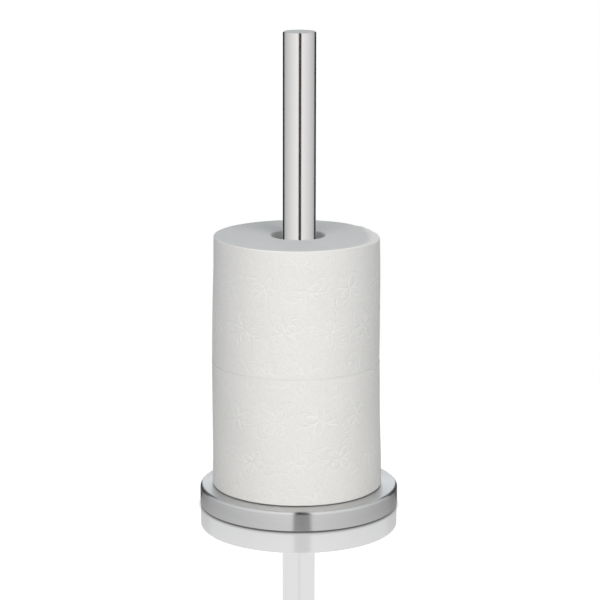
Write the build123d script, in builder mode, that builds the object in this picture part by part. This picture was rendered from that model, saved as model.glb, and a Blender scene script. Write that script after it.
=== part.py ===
from build123d import *
import os
from math import cos, radians, sin, sqrt, tan

# Free-standing roll stand: a low weighted base in brushed stainless steel, a straight
# tube post with a flush cap, and two paper rolls stacked loosely on the post.
# Millimetres, +Z up, the origin at the centre of the footprint on the floor, -Y the front.

# ---- base: drawn cover, ballast, moulded plate and foot ring ----
base_diameter = 152.0
cover_wall = 0.8
cover_edge_radius = 2.5  # outside radius of the drawn top edge
weight_thickness = 10.0
weight_side_gap = 1.0
weight_corner_relief = 0.6  # past the inside radius of the drawn edge
plate_thickness = 2.6
plate_side_gap = 0.15
rib_height = 1.7
rib_width = 1.6
rib_end_inset = 13.0  # outside of the base to the ends of the ribs
rib_count = 6  # right across the plate
foot_projection = 1.2  # rubber below the rim of the cover
foot_width = 6.0
foot_inset = 2.2
foot_seat_depth = 1.4
foot_seat_gap = 0.05
foot_chamfer = 0.5

# ---- countersunk screws that hold the plate to the ballast ----
screw_count = 3
screw_bearing = 90.0  # first screw, degrees from +X
screw_inset = 23.0  # outside of the base to the screw circle
screw_diameter = 3.5
screw_length = 9.0
screw_head_diameter = 7.0
screw_recess_span = 3.8
screw_recess_width = 0.9
screw_recess_depth = 1.2
screw_gap = 0.1  # radial, in the plate and in the pilot holes
screw_head_gap = 0.3  # radial, head in its countersink
screw_tip_gap = 1.0
boss_wall = 2.6

# ---- post: tube, flush cap and threaded plug ----
post_diameter = 25.0
post_wall = 1.0
post_length = 347.7
post_edge_radius = 0.8
post_foot_chamfer = 0.2
insert_gap = 0.05  # radial, cap and plug inside the tube
cap_skirt = 8.0
cap_wall = 1.0
cap_edge_chamfer = 0.3  # leaves a fine seam at the tube's end
plug_tip_gap = 3.0
plug_end_wall = 4.0

# ---- M8 bolt and washers that draw the post down on the base ----
bolt_diameter = 8.0
bolt_length = 20.0
bolt_tip_chamfer = 0.6
bolt_head_height = 5.3
bolt_head_across_flats = 13.0
bolt_head_bevel = 30.0  # degrees, on the corners of the head
thread_gap = 0.05  # radial, bolt in the plug
bolt_hole_gap = 0.25  # radial, bolt in sheet, ballast and washers
washer_diameter = 16.0
washer_thickness = 1.6
spring_washer_diameter = 14.8
spring_washer_thickness = 2.0
spring_washer_slot = 1.0
spring_washer_slant = 20.0  # degrees
counterbore_gap = 2.0  # radial, round the washer
counterbore_depth = 5.0
access_gap = 4.5  # radial, round the head's corners, for a socket wrench

# ---- paper rolls ----
roll_height = 96.8
roll_seat_gap = 0.25  # under each roll
core_bore_diameter = 40.3
core_wall = 0.8
core_recess = 0.4  # card shorter than the paper, at each end
winding_gap = 0.08  # radial, paper on its core
sheet_thickness = 0.6  # embossed sheet as it lies on the roll
loose_end_angle = 14.0  # degrees of the outer turn that stand off the roll
loose_end_lift = 1.2
barrel_margin = 0.6  # bevelled barrel past the loose end
paper_end_chamfer = 2.2
lower_roll_diameter = 128.5
lower_roll_shift = (-0.9, 1.2)  # each roll stands loose on the post
lower_loose_end = 152.0  # bearing of the cut edge, degrees from +X
upper_roll_diameter = 126.4
upper_roll_shift = (-0.9, 1.6)
upper_loose_end = 38.0

# ---- levels and radii that follow ----
base_radius = base_diameter / 2
rim_z = foot_projection
plate_top_z = rim_z + plate_thickness
weight_bottom_z = plate_top_z + rib_height
ceiling_z = weight_bottom_z + weight_thickness
base_top_z = ceiling_z + cover_wall
post_top_z = base_top_z + post_length

cover_bore_radius = base_radius - cover_wall
weight_radius = cover_bore_radius - weight_side_gap
bend_inside_radius = cover_edge_radius - cover_wall
bend_inside_chamfer = bend_inside_radius * (2 - sqrt(2))  # touches that radius at its middle
weight_chamfer = bend_inside_radius + weight_corner_relief
plate_radius = cover_bore_radius - plate_side_gap
rib_length = 2 * (base_radius - rib_end_inset)
foot_outer_radius = base_radius - foot_inset
foot_inner_radius = foot_outer_radius - foot_width
screw_radius = screw_diameter / 2
screw_head_radius = screw_head_diameter / 2
screw_circle_radius = base_radius - screw_inset
screw_tip_z = rim_z + screw_length

bolt_radius = bolt_diameter / 2
bolt_hole_radius = bolt_radius + bolt_hole_gap
counterbore_radius = washer_diameter / 2 + counterbore_gap
head_corner_radius = bolt_head_across_flats / 2 / cos(radians(30))
access_radius = head_corner_radius + access_gap
washer_top_z = weight_bottom_z + counterbore_depth
spring_washer_top_z = washer_top_z - washer_thickness
head_top_z = spring_washer_top_z - spring_washer_thickness
bolt_tip_z = head_top_z + bolt_length

post_bore_radius = post_diameter / 2 - post_wall
insert_radius = post_bore_radius - insert_gap
plug_bore_depth = bolt_tip_z - base_top_z + plug_tip_gap
plug_length = plug_bore_depth + plug_end_wall

core_radius = core_bore_diameter / 2 + core_wall
turn_shift = sheet_thickness / 2  # between the centres of the outer turn's two halves
lower_roll_z = base_top_z + roll_seat_gap
upper_roll_z = lower_roll_z + roll_height + roll_seat_gap

floor_side = Plane(origin=(0, 0, 0), x_dir=(-1, 0, 0), z_dir=(0, 0, -1))  # faces the floor

os.makedirs("parts", exist_ok=True)

# ---- drawn steel cover, open underneath ----
with BuildPart() as base_cover:
    with BuildSketch(Plane.XY.offset(rim_z)):
        Circle(base_radius)
    extrude(amount=base_top_z - rim_z)
    fillet(base_cover.edges().sort_by(Axis.Z)[-1], radius=cover_edge_radius)
    with BuildSketch(Plane.XY.offset(rim_z)):
        Circle(cover_bore_radius)
    extrude(amount=ceiling_z - rim_z, mode=Mode.SUBTRACT)
    chamfer(base_cover.edges(Select.LAST).sort_by(Axis.Z)[-1], length=bend_inside_chamfer)
    with Locations((0, 0, base_top_z)):
        Hole(radius=bolt_hole_radius, depth=2 * cover_wall)
base_cover.part.label = "base_cover"
export_step(base_cover.part, "parts/base_cover.step")

# ---- cast ballast: disc counterbored underneath for the bolt ----
with BuildPart() as base_weight:
    with BuildSketch(Plane.XY.offset(weight_bottom_z)):
        Circle(weight_radius)
    extrude(amount=weight_thickness)
    chamfer(base_weight.edges().sort_by(Axis.Z)[-1], length=weight_chamfer)
    with Locations(floor_side.offset(-weight_bottom_z)):
        CounterBoreHole(bolt_hole_radius, counterbore_radius, counterbore_depth)
        with PolarLocations(screw_circle_radius, screw_count, start_angle=screw_bearing):
            Hole(screw_radius + screw_gap, depth=screw_tip_z + screw_tip_gap - weight_bottom_z)
base_weight.part.label = "base_weight"
export_step(base_weight.part, "parts/base_weight.step")

# ---- moulded plate: crossed ribs and screw bosses carry the ballast ----
with BuildPart() as base_plate:
    with BuildSketch(Plane.XY.offset(rim_z)):
        Circle(plate_radius)
    extrude(amount=plate_thickness)
    with BuildSketch(Plane.XY.offset(plate_top_z)):
        with PolarLocations(0, rib_count, start_angle=screw_bearing, angular_range=180):
            Rectangle(rib_length, rib_width)
        with PolarLocations(screw_circle_radius, screw_count, start_angle=screw_bearing):
            Circle(screw_radius + screw_gap + boss_wall)
    extrude(amount=rib_height)
    with BuildSketch(Plane.XY.offset(rim_z)):
        Circle(foot_outer_radius + foot_seat_gap)
        Circle(foot_inner_radius - foot_seat_gap, mode=Mode.SUBTRACT)
    extrude(amount=foot_seat_depth, mode=Mode.SUBTRACT)
    with Locations(floor_side.offset(-rim_z)):
        Hole(access_radius)
        with PolarLocations(screw_circle_radius, screw_count, start_angle=screw_bearing):
            CounterSinkHole(
                screw_radius + screw_gap,
                screw_head_radius + screw_head_gap,
                counter_sink_angle=90,
            )
base_plate.part.label = "base_plate"
export_step(base_plate.part, "parts/base_plate.step")

# ---- rubber ring pressed into the plate ----
with BuildPart() as foot_ring:
    with BuildSketch():
        Circle(foot_outer_radius)
        Circle(foot_inner_radius, mode=Mode.SUBTRACT)
    extrude(amount=foot_projection + foot_seat_depth)
    chamfer(foot_ring.edges().group_by(Axis.Z)[0].sort_by(SortBy.RADIUS)[-1], length=foot_chamfer)
foot_ring.part.label = "foot_ring"
export_step(foot_ring.part, "parts/foot_ring.step")

# ---- one countersunk screw with a cross recess, then the set of them ----
with BuildPart() as plate_screw:
    with BuildSketch(Plane.XZ):
        with BuildLine():
            Polyline(
                (0, 0),
                (screw_head_radius, 0),
                (screw_radius, screw_head_radius - screw_radius),
                (screw_radius, screw_length),
                (0, screw_length),
                close=True,
            )
        make_face()
    revolve()
    with BuildSketch():
        Rectangle(screw_recess_span, screw_recess_width)
        Rectangle(screw_recess_width, screw_recess_span)
    extrude(amount=screw_recess_depth, mode=Mode.SUBTRACT)

with BuildPart() as plate_screws:
    with Locations((0, 0, rim_z)):
        with PolarLocations(screw_circle_radius, screw_count, start_angle=screw_bearing):
            add(plate_screw.part)
plate_screws.part.label = "plate_screws"
export_step(plate_screws.part, "parts/plate_screws.step")

# ---- straight tube with a rounded upper edge ----
with BuildPart() as post_tube:
    with BuildSketch(Plane.XY.offset(base_top_z)):
        Circle(post_diameter / 2)
        Circle(post_bore_radius, mode=Mode.SUBTRACT)
    extrude(amount=post_length)
    rings = post_tube.edges().filter_by(GeomType.CIRCLE)
    outer_edges = rings.group_by(SortBy.RADIUS)[-1].sort_by(Axis.Z)
    fillet(outer_edges[-1], radius=post_edge_radius)
    chamfer(outer_edges[0], length=post_foot_chamfer)
post_tube.part.label = "post_tube"
export_step(post_tube.part, "parts/post_tube.step")

# ---- pressed cap, a shallow cup flush with the tube's end ----
with BuildPart() as post_cap:
    with BuildSketch(Plane.XY.offset(post_top_z)):
        Circle(insert_radius)
    extrude(amount=-cap_skirt)
    offset(amount=-cap_wall, openings=post_cap.faces().sort_by(Axis.Z)[0])
    chamfer(post_cap.edges().group_by(Axis.Z)[-1], length=cap_edge_chamfer)
post_cap.part.label = "post_cap"
export_step(post_cap.part, "parts/post_cap.step")

# ---- threaded plug in the foot of the tube ----
with BuildPart() as post_plug:
    with BuildSketch(Plane.XY.offset(base_top_z)):
        Circle(insert_radius)
    extrude(amount=plug_length)
    with Locations(floor_side.offset(-base_top_z)):
        Hole(bolt_radius + thread_gap, depth=plug_bore_depth)
post_plug.part.label = "post_plug"
export_step(post_plug.part, "parts/post_plug.step")

# ---- hexagon bolt, put in from underneath ----
with BuildPart() as post_bolt:
    with BuildSketch(Plane.XY.offset(head_top_z)):
        RegularPolygon(bolt_head_across_flats / 2, 6, major_radius=False)
    extrude(amount=-bolt_head_height)
    bevel_drop = (head_corner_radius - bolt_head_across_flats / 2) * tan(radians(bolt_head_bevel))
    with BuildSketch(Plane.XZ):
        with BuildLine():
            Polyline(
                (0, head_top_z),
                (head_corner_radius, head_top_z),
                (head_corner_radius, head_top_z - bolt_head_height + bevel_drop),
                (bolt_head_across_flats / 2, head_top_z - bolt_head_height),
                (0, head_top_z - bolt_head_height),
                close=True,
            )
        make_face()
    revolve(mode=Mode.INTERSECT)
    with BuildSketch(Plane.XY.offset(head_top_z)):
        Circle(bolt_radius)
    extrude(amount=bolt_length)
    chamfer(post_bolt.edges().sort_by(Axis.Z)[-1], length=bolt_tip_chamfer)
post_bolt.part.label = "post_bolt"
export_step(post_bolt.part, "parts/post_bolt.step")

# ---- flat washer under the ballast ----
with BuildPart() as post_washer:
    with BuildSketch(Plane.XY.offset(washer_top_z)):
        Circle(washer_diameter / 2)
        Circle(bolt_hole_radius, mode=Mode.SUBTRACT)
    extrude(amount=-washer_thickness)
post_washer.part.label = "post_washer"
export_step(post_washer.part, "parts/post_washer.step")

# ---- split spring washer, cut through on a slant ----
with BuildPart() as post_spring_washer:
    with BuildSketch(Plane.XY.offset(spring_washer_top_z)):
        Circle(spring_washer_diameter / 2)
        Circle(bolt_hole_radius, mode=Mode.SUBTRACT)
    extrude(amount=-spring_washer_thickness)
    with BuildSketch(Plane.XZ.offset(bolt_radius / 2)):
        with Locations((0, spring_washer_top_z - spring_washer_thickness / 2)):
            Rectangle(spring_washer_slot, 3 * spring_washer_thickness, rotation=spring_washer_slant)
    extrude(amount=spring_washer_diameter / 2, mode=Mode.SUBTRACT)
post_spring_washer.part.label = "post_spring_washer"
export_step(post_spring_washer.part, "parts/post_spring_washer.step")

# ---- two rolls, each a card core and a spiral winding with its loose end ----
def loose_end_point(radius, share):
    """Point on the loose end of a turn: share is 0 where it leaves the roll, 1 at the cut."""
    angle = radians(loose_end_angle * (share - 1))
    reach = radius + loose_end_lift * share * (1 + 2 * share) / 3
    return (turn_shift + reach * cos(angle), reach * sin(angle))


rolls = (
    ("lower_roll", lower_roll_z, lower_roll_diameter, lower_roll_shift, lower_loose_end),
    ("upper_roll", upper_roll_z, upper_roll_diameter, upper_roll_shift, upper_loose_end),
)
for name, roll_z, diameter, shift, bearing in rolls:
    roll_plane = Plane(origin=(*shift, roll_z))
    with BuildPart() as core:
        with BuildSketch(roll_plane.offset(core_recess)):
            Circle(core_radius)
            Circle(core_bore_diameter / 2, mode=Mode.SUBTRACT)
        extrude(amount=roll_height - 2 * core_recess)
    core.part.label = f"{name}_core"
    export_step(core.part, f"parts/{name}_core.step")

    # The outer turn is two half circles with their centres half a sheet apart, so that it
    # grows by one sheet in a turn. Its last part bends away from the turn underneath.
    start_radius = (diameter - sheet_thickness) / 2
    turn_radius = start_radius + turn_shift
    under_radius = turn_radius - sheet_thickness
    # Its ends are pressed soft: the outline is cut from a barrel with bevelled rims.
    barrel_radius = turn_radius + loose_end_lift + barrel_margin
    with BuildPart() as winding:
        with BuildSketch(Plane(origin=(*shift, roll_z), x_dir=(1, 0, 0), z_dir=(0, -1, 0))) as half:
            Rectangle(barrel_radius, roll_height, align=(Align.MIN, Align.MIN))
            chamfer(half.vertices().group_by(Axis.X)[-1], length=paper_end_chamfer)
        revolve(axis=Axis((*shift, roll_z), (0, 0, 1)))
        with BuildSketch(roll_plane.offset(roll_height / 2).rotated((0, 0, bearing))):
            with BuildLine():
                CenterArc((0, 0), start_radius, 0, 180)
                CenterArc((turn_shift, 0), turn_radius, 180, 180 - loose_end_angle)
                ThreePointArc(*(loose_end_point(turn_radius, share) for share in (0, 0.5, 1)))
                Line(loose_end_point(turn_radius, 1), loose_end_point(under_radius, 1))
                ThreePointArc(*(loose_end_point(under_radius, share) for share in (1, 0.5, 0)))
                CenterArc((turn_shift, 0), under_radius, -loose_end_angle, loose_end_angle)
            make_face()
            Circle(core_radius + winding_gap, mode=Mode.SUBTRACT)
        extrude(amount=roll_height, both=True, mode=Mode.INTERSECT)
    winding.part.label = f"{name}_paper"
    export_step(winding.part, f"parts/{name}_paper.step")
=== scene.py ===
"""Looks for the spare-roll stand: brushed steel base and tube with two embossed paper rolls."""

import logging
import math
import random
from collections.abc import Callable, Sequence
from dataclasses import dataclass
from enum import Enum

import bmesh
import bpy
from mathutils import Matrix, Vector


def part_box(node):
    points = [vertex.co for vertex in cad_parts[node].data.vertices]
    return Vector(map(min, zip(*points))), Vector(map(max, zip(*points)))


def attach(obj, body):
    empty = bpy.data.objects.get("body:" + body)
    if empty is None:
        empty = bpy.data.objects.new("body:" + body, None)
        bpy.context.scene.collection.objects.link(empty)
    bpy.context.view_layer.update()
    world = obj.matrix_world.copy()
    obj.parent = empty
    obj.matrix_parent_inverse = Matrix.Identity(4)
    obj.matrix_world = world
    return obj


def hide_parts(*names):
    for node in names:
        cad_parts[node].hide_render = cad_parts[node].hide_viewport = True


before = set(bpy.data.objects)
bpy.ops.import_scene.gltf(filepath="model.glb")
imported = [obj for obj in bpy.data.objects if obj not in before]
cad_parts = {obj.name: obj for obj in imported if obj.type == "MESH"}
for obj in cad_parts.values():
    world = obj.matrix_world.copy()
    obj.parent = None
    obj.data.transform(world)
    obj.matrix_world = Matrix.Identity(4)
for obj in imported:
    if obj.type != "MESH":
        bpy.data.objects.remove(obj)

LOG = logging.getLogger("roll_stand")
MM = 0.001
ORIGIN = (0.0, 0.0, 0.0)
EVENLY = (1.0, 1.0, 1.0)
MERGE_WITHIN = 1e-7  # m

Material = bpy.types.Material
Node = bpy.types.Node
Piece = bpy.types.Object
Socket = bpy.types.NodeSocket
Tree = bpy.types.NodeTree
Colour = tuple[float, float, float, float]
Point = tuple[float, float, float]
Pair = tuple[float, float]
Row = Callable[[float], Pair]

# The paper's embossing. Sizes in m, and the inner leaf as a share of the outer one.
EMBOSS = {
    "Repeat": 0.033,
    "Leaf": 0.018,
    "Inner": 0.6,
    "Line": 0.0009,  # half a line's width in the mesh, which is too coarse for the finish's finer line
    "Relief": 0.00011,
    "Crepe": 0.0026,
    "Drift": 0.012,
}
ROW_SPIN = 1.1  # radians that a rosette is turned for each row
COLUMN_SPIN = 2.4  # and for each column
DRIFT_SCALE = 27.0  # to the metre, how often the rows wander to and fro
PATCH_SCALE = 38.0  # to the metre, patches where the roller pressed more or less
PATCH_RANGE = (0.36, 0.56)
LEAST_PRESSED = 0.45  # how well the worst pressed patch shows
WRINKLE = 2.4  # height of the crepe, as a share of the relief
SOFT_EDGE = 50.0  # degrees, below which a grown piece's edges are shaded smooth


# ---- colours and nodes ----
def linear(hex_colour: str) -> Colour:
    """Turns an sRGB colour into the linear values that shaders take.

    Args:
        hex_colour: The colour as "#RRGGBB".

    Returns:
        Linear red, green and blue, and an alpha of 1.
    """
    parts = [int(hex_colour[i : i + 2], 16) / 255 for i in (1, 3, 5)]
    red, green, blue = (c / 12.92 if c <= 0.04045 else ((c + 0.055) / 1.055) ** 2.4 for c in parts)
    return red, green, blue, 1.0


def add_node(tree: Tree, kind: str, inputs: dict | None = None, **settings: object) -> Node:
    """Adds one node with its settings, its socket values and its links.

    Args:
        tree: The node tree that gets the node.
        kind: The node's type name.
        inputs: Value or output socket for each input, by the input's name or number.
        **settings: Properties of the node itself.

    Returns:
        The new node.
    """
    node = tree.nodes.new(kind)
    for key, value in settings.items():
        setattr(node, key, value)
    for key, value in (inputs or {}).items():
        if isinstance(value, Socket):
            tree.links.new(value, node.inputs[key])
        else:
            node.inputs[key].default_value = value
    return node


def worked_out(tree: Tree, values: dict[str, object], *steps: tuple) -> dict[str, object]:
    """Works out a formula in a tree, one sum after another.

    Args:
        tree: A material's or a geometry tree.
        values: The numbers and sockets that the formula starts from, by name.
        *steps: For each sum its result's name, its operation, and the numbers or names that go into it.

    Returns:
        The starting values and the results, by name.
    """
    known = dict(values)
    for name, operation, *terms in steps:
        inputs = {slot: known.get(term, term) for slot, term in enumerate(terms)}
        known[name] = add_node(tree, "ShaderNodeMath", inputs, operation=operation).outputs[0]
    return known


def rosettes(tree: Tree, turn: Socket, rise: Socket, sizes: object) -> Socket:
    """Draws rows of four-leafed outlines, one inside the other, each turned its own way.

    Args:
        tree: A material's or a geometry tree.
        turn: How far round the sheet the point lies, in metres.
        rise: How high it lies, in metres.
        sizes: The embossing's sizes by name, as numbers or sockets.

    Returns:
        A band from 0 beside the lines to 1 on them.
    """
    known = worked_out(
        tree,
        {"turn": turn, "rise": rise, **{label: sizes[label] for label in ("Repeat", "Leaf", "Inner")}},
        ("level", "DIVIDE", "rise", "Repeat"),
        ("row", "FLOOR", "level"),
        ("along", "DIVIDE", "turn", "Repeat"),
        ("place", "MULTIPLY_ADD", "row", 0.5, "along"),  # every second row stands half a step aside
        ("column", "FLOOR", "place"),
        ("part", "FRACT", "place"),
        ("off_middle", "SUBTRACT", "part", 0.5),
        ("across", "MULTIPLY", "off_middle", "Repeat"),
        ("part", "FRACT", "level"),
        ("off_middle", "SUBTRACT", "part", 0.5),
        ("up", "MULTIPLY", "off_middle", "Repeat"),
        ("column_spin", "MULTIPLY", "column", COLUMN_SPIN),
        ("spin", "MULTIPLY_ADD", "row", ROW_SPIN, "column_spin"),
        ("bearing", "ARCTAN2", "up", "across"),
        ("turned", "ADD", "bearing", "spin"),
        ("doubled", "MULTIPLY", "turned", 2.0),
        ("up_squared", "MULTIPLY_ADD", "up", "up", 1e-8),  # the middle keeps a little reach to divide by
        ("squared", "MULTIPLY_ADD", "across", "across", "up_squared"),
        ("reach", "SQRT", "squared"),
        ("cosine", "COSINE", "doubled"),
        ("petal", "ABSOLUTE", "cosine"),
        ("outer", "MULTIPLY", "petal", "Leaf"),
        ("inner", "MULTIPLY", "outer", "Inner"),
        ("sine", "SINE", "doubled"),
        ("swing", "MULTIPLY", "sine", 2.0),
        ("swing", "MULTIPLY", "swing", "Leaf"),
        ("steep", "DIVIDE", "swing", "reach"),
        ("slope", "MULTIPLY_ADD", "steep", "steep", 1.0),
        ("slope", "SQRT", "slope"),  # how much farther the outline runs than the circle beside it
        ("off_outer", "SUBTRACT", "reach", "outer"),
        ("off_outer", "ABSOLUTE", "off_outer"),
        ("off_inner", "SUBTRACT", "reach", "inner"),
        ("off_inner", "ABSOLUTE", "off_inner"),
        ("nearest", "MINIMUM", "off_outer", "off_inner"),
        ("off_line", "DIVIDE", "nearest", "slope"),
    )
    band = {"Value": known["off_line"], "From Max": sizes["Line"], "To Min": 1.0, "To Max": 0.0}
    return add_node(tree, "ShaderNodeMapRange", band, interpolation_type="SMOOTHSTEP").outputs[0]


def new_material(name: str) -> tuple[Material, Tree]:
    """Makes an empty node material.

    Args:
        name: The material's name.

    Returns:
        The material and its node tree.
    """
    material = bpy.data.materials.new(name)
    material.use_nodes = True
    material.node_tree.nodes.clear()
    return material, material.node_tree


def object_point(tree: Tree, scale: Sequence[float] = EVENLY, shift: Sequence[float] = ORIGIN) -> Socket:
    """Gives a point on the piece, shifted and then stretched, for a pattern to follow.

    Args:
        tree: The material's node tree.
        scale: Pattern periods to the metre along x, y and z.
        shift: The pattern's centre in metres.

    Returns:
        The vector output.
    """
    spot = add_node(tree, "ShaderNodeTexCoord").outputs["Object"]
    for operation, by in (("SUBTRACT", tuple(shift)), ("MULTIPLY", tuple(scale))):
        spot = add_node(tree, "ShaderNodeVectorMath", {0: spot, 1: by}, operation=operation).outputs[0]
    return spot


def mottle(tree: Tree, scale: Sequence[float], detail: float, shift: Sequence[float] = ORIGIN) -> Socket:
    """Gives an uneven pattern that stays on the piece.

    Args:
        tree: The material's node tree.
        scale: Periods to the metre along x, y and z.
        detail: How many finer layers lie on it.
        shift: The pattern's centre in metres.

    Returns:
        A number from 0 to 1.
    """
    inputs = {"Vector": object_point(tree, scale, shift), "Scale": 1.0, "Detail": detail}
    return add_node(tree, "ShaderNodeTexNoise", inputs).outputs["Fac"]


def painted(tree: Tree, ground: str | Socket, *coats: tuple[Socket, str | Socket]) -> Socket:
    """Lays colours over one another.

    Args:
        tree: The material's node tree.
        ground: The lowest colour, as a hex value or a socket.
        *coats: For each further colour how far it covers, from 0 to 1, and the colour.

    Returns:
        The colour that is seen.
    """
    for share, coat in coats:
        low, high = (linear(tone) if isinstance(tone, str) else tone for tone in (ground, coat))
        ground = add_node(tree, "ShaderNodeMix", {0: share, 6: low, 7: high}, data_type="RGBA").outputs[2]
    return ground


def relief(tree: Tree, *layers: tuple[Socket, float, float]) -> Socket:
    """Stacks layers of fine relief.

    Args:
        tree: The material's node tree.
        *layers: For each layer its pattern, its depth in mm, below 0 if it is pressed in, and its strength.

    Returns:
        The normal.
    """
    below = {}
    for height, depth, strength in layers:
        inputs = {"Strength": strength, "Distance": abs(depth) * MM, "Height": height, **below}
        below["Normal"] = add_node(tree, "ShaderNodeBump", inputs, invert=depth < 0).outputs[0]
    return below["Normal"]


# ---- finishes ----
class Grain(Enum):
    """How the marks of a finish lie on the surface."""

    ROUND = "round the axis"
    EVEN = "the same every way"


@dataclass(frozen=True)
class Finish:
    """What a piece is made of and how it was made: one material with one surface."""

    name: str

    def look(self, tree: Tree) -> dict[str, object]:
        """Gives the surface's inputs by name."""
        raise NotImplementedError

    def make(self) -> Material:
        """Builds the material.

        Returns:
            The material.
        """
        material, tree = new_material(self.name)
        surface = add_node(tree, "ShaderNodeBsdfPrincipled", self.look(tree)).outputs[0]
        add_node(tree, "ShaderNodeOutputMaterial", {"Surface": surface})
        return material


@dataclass(frozen=True)
class SatinSteel(Finish):
    """Austenitic stainless steel, satin ground: a soft mirror that is sharp along the belt's marks."""

    colour: str
    worn_colour: str
    roughness: float
    roughness_spread: float
    mark_depth: float  # mm
    wave_depth: float  # mm
    wave_length: float = 26.0  # mm, the slight waviness of rolled tube and sheet
    grain: Grain = Grain.ROUND
    mark_width: float = 0.8  # mm, a 180 grit mark is 0.1 mm wide and is drawn wider so that it shows
    mark_length: float = 90.0  # mm

    def look(self, tree: Tree) -> dict[str, object]:
        """Draws the belt's marks over the sheet's waves.

        Args:
            tree: The material's node tree.

        Returns:
            The surface's inputs by name.
        """
        even = self.grain is Grain.EVEN
        across, wide = 1 / (self.mark_width * MM), 1 / (self.wave_length * MM)
        along = across if even else 1 / (self.mark_length * MM)
        marks = mottle(tree, (along, along, across), detail=3.0)
        waves = mottle(tree, (wide, wide, wide), detail=1.0)
        softest, sharpest = self.roughness + self.roughness_spread, self.roughness - self.roughness_spread
        axis_and_spot = {0: (0.0, 0.0, 1.0), 1: object_point(tree)}
        round_axis = add_node(tree, "ShaderNodeVectorMath", axis_and_spot, operation="CROSS_PRODUCT")
        return {
            "Base Color": painted(tree, self.worn_colour, (marks, self.colour)),
            "Metallic": 1.0,
            "Roughness": add_node(tree, "ShaderNodeMapRange", {0: marks, 3: softest, 4: sharpest}).outputs[0],
            "Normal": relief(tree, (waves, self.wave_depth, 1.0), (marks, self.mark_depth, 1.0)),
            "Anisotropic": 0.0 if even else 1.0,
            "Anisotropic Rotation": 0.25,  # the gloss spreads across the marks
            "Tangent": round_axis.outputs[0],
        }


@dataclass(frozen=True)
class GrainedFinish(Finish):
    """A plain finish with a fine even grain: moulded, cast, plated or extruded."""

    colour: str
    shade: str
    roughness: float
    grain_width: float  # mm
    grain_depth: float  # mm
    metallic: float = 0.0
    ior: float = 1.5
    roughness_spread: float = 0.06
    blotches: float = 90.0  # to the metre

    def look(self, tree: Tree) -> dict[str, object]:
        """Draws the grain over large faint blotches.

        Args:
            tree: The material's node tree.

        Returns:
            The surface's inputs by name.
        """
        fine = 1 / (self.grain_width * MM)
        grain = mottle(tree, (fine, fine, fine), detail=4.0)
        blotch = mottle(tree, (self.blotches,) * 3, detail=2.0)
        smooth, rough = self.roughness - self.roughness_spread, self.roughness + self.roughness_spread
        inputs = {
            "Base Color": painted(tree, self.shade, (blotch, self.colour)),
            "Metallic": self.metallic,
            "Roughness": add_node(tree, "ShaderNodeMapRange", {0: grain, 3: smooth, 4: rough}).outputs[0],
            "Normal": relief(tree, (grain, self.grain_depth, 1.0)),
        }
        return inputs if self.metallic else {**inputs, "IOR": self.ior}


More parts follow.
